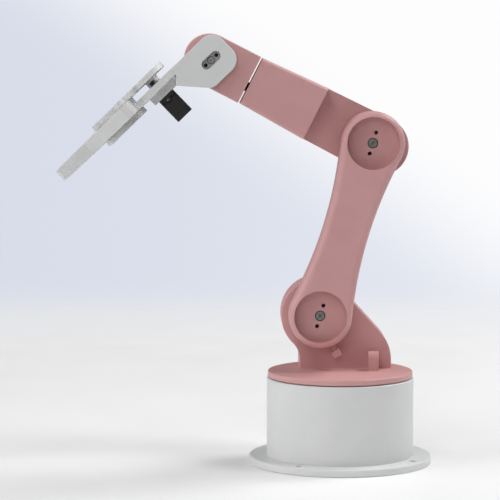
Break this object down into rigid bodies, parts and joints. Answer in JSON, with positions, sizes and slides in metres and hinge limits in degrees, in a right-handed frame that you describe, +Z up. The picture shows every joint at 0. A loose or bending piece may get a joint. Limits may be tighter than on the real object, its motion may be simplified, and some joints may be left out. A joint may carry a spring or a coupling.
{
  "type": "articulated robot arm",
  "caption": "Desktop hobby-servo robot arm on a round flanged base: turning waist, shoulder, elbow, rolling and pitching wrist, and a geared two-finger gripper.",
  "frame": {"origin": "centre of the base flange's underside, on the waist axis", "axes": "+Z up along the waist axis; the arm reaches towards -X; -Y is the side with the horn recesses"},
  "size_m": [0.2491, 0.122, 0.2861],
  "materials": {
    "pink_print": "3-D printed, satin",
    "white_print": "3-D printed, satin",
    "servo_plastic": "moulded, fine texture",
    "horn_nylon": "moulded nylon",
    "brass_spline": "machined",
    "black_nylon": "moulded",
    "black_steel": "black oxide",
    "zinc_steel": "zinc plated",
    "dark_screw_steel": "blackened"
  },
  "bodies": {
    "base": {"base_flange": "white_print", "base_housing": "white_print", "base_lid": "white_print", "base_servo_case": "servo_plastic", "base_servo_screws": "dark_screw_steel"},
    "waist": {"waist_turntable": "pink_print", "waist_cap": "pink_print", "waist_servo_shaft": "brass_spline", "waist_horn": "horn_nylon", "waist_horn_screws": "dark_screw_steel", "shoulder_servo_case": "servo_plastic", "shoulder_servo_screws": "dark_screw_steel"},
    "upper_arm": {"upper_arm": "pink_print", "shoulder_servo_shaft": "brass_spline", "shoulder_horn": "horn_nylon", "shoulder_horn_screws": "dark_screw_steel", "elbow_servo_shaft": "brass_spline", "elbow_horn": "horn_nylon", "elbow_horn_screws": "dark_screw_steel"},
    "forearm": {"forearm": "pink_print", "elbow_servo_case": "servo_plastic", "elbow_servo_screws": "dark_screw_steel", "roll_servo_case": "servo_plastic", "roll_servo_screws": "dark_screw_steel"},
    "wrist": {"wrist_body": "pink_print", "roll_servo_shaft": "brass_spline", "roll_horn": "horn_nylon", "roll_horn_centre_screw": "dark_screw_steel", "roll_horn_screws": "dark_screw_steel", "pitch_servo_case": "servo_plastic", "pitch_servo_screws": "dark_screw_steel"},
    "gripper": {"gripper_base": "white_print", "pitch_servo_shaft": "brass_spline", "pitch_horn": "horn_nylon", "pitch_horn_centre_screw": "dark_screw_steel", "pitch_horn_screws": "dark_screw_steel", "gripper_servo_case": "servo_plastic", "gripper_servo_screws": "dark_screw_steel", "gear_bolt": "black_steel", "gear_bolt_nut": "zinc_steel", "gear_spacer": "black_nylon"},
    "drive_gear": {"drive_gear": "white_print", "gripper_servo_shaft": "brass_spline", "gripper_horn": "horn_nylon", "gripper_horn_centre_screw": "dark_screw_steel"},
    "driven_gear": {"driven_gear": "white_print"},
    "far_links": {"far_link_top": "white_print", "far_link_bottom": "white_print", "far_link_bolts": "black_steel", "far_link_nuts": "zinc_steel"},
    "near_links": {"near_link_top": "white_print", "near_link_bottom": "white_print", "near_link_bolts": "black_steel", "near_link_nuts": "zinc_steel"},
    "far_finger": {"far_finger": "white_print", "far_finger_bolt": "black_steel", "far_finger_nut": "zinc_steel"},
    "near_finger": {"near_finger": "white_print", "near_finger_bolt": "black_steel", "near_finger_nut": "zinc_steel"}
  },
  "joints": [
    {"name": "waist_yaw", "type": "hinge", "parent": "base", "child": "waist", "pos_m": [0, 0, 0.0576], "axis": [0, 0, 1], "range_deg": [-90, 90]},
    {"name": "shoulder_pitch", "type": "hinge", "parent": "waist", "child": "upper_arm", "pos_m": [-0.0138, 0, 0.0991], "axis": [0, -1, 0], "range_deg": [-45, 75]},
    {"name": "elbow_pitch", "type": "hinge", "parent": "upper_arm", "child": "forearm", "pos_m": [0.0208, 0, 0.214], "axis": [0, -1, 0], "range_deg": [-75, 45]},
    {"name": "wrist_roll", "type": "hinge", "parent": "forearm", "child": "wrist", "pos_m": [-0.06268, 0, 0.25128], "axis": [-0.8905, 0, 0.4551], "range_deg": [-90, 90]},
    {"name": "wrist_pitch", "type": "hinge", "parent": "wrist", "child": "gripper", "pos_m": [-0.08605, 0, 0.26861], "axis": [0, -1, 0], "range_deg": [-90, 45]},
    {"name": "gripper_drive", "type": "hinge", "parent": "gripper", "child": "drive_gear", "pos_m": [-0.12798, 0.0125, 0.25718], "axis": [0.6947, 0, -0.7193], "range_deg": [-27.5, 12]},
    {"name": "driven_gear_turn", "type": "hinge", "parent": "gripper", "child": "driven_gear", "pos_m": [-0.12798, -0.0125, 0.25718], "axis": [0.6947, 0, -0.7193], "range_deg": [-12, 27.5]},
    {"name": "far_links_turn", "type": "hinge", "parent": "gripper", "child": "far_links", "pos_m": [-0.13743, 0.0055, 0.23846], "axis": [0.6947, 0, -0.7193], "range_deg": [-27.5, 12]},
    {"name": "near_links_turn", "type": "hinge", "parent": "gripper", "child": "near_links", "pos_m": [-0.13743, -0.0055, 0.23846], "axis": [0.6947, 0, -0.7193], "range_deg": [-12, 27.5]},
    {"name": "far_finger_turn", "type": "hinge", "parent": "drive_gear", "child": "far_finger", "pos_m": [-0.14116, 0.02722, 0.23486], "axis": [0.6947, 0, -0.7193], "range_deg": [-12, 27.5]},
    {"name": "near_finger_turn", "type": "hinge", "parent": "driven_gear", "child": "near_finger", "pos_m": [-0.14116, -0.02722, 0.23486], "axis": [0.6947, 0, -0.7193], "range_deg": [-27.5, 12]}
  ],
  "couplings": [
    {"joint": "driven_gear_turn", "follows": "gripper_drive", "ratio": -1},
    {"joint": "far_links_turn", "follows": "gripper_drive", "ratio": 1},
    {"joint": "near_links_turn", "follows": "gripper_drive", "ratio": -1},
    {"joint": "far_finger_turn", "follows": "gripper_drive", "ratio": -1},
    {"joint": "near_finger_turn", "follows": "gripper_drive", "ratio": 1}
  ]
}
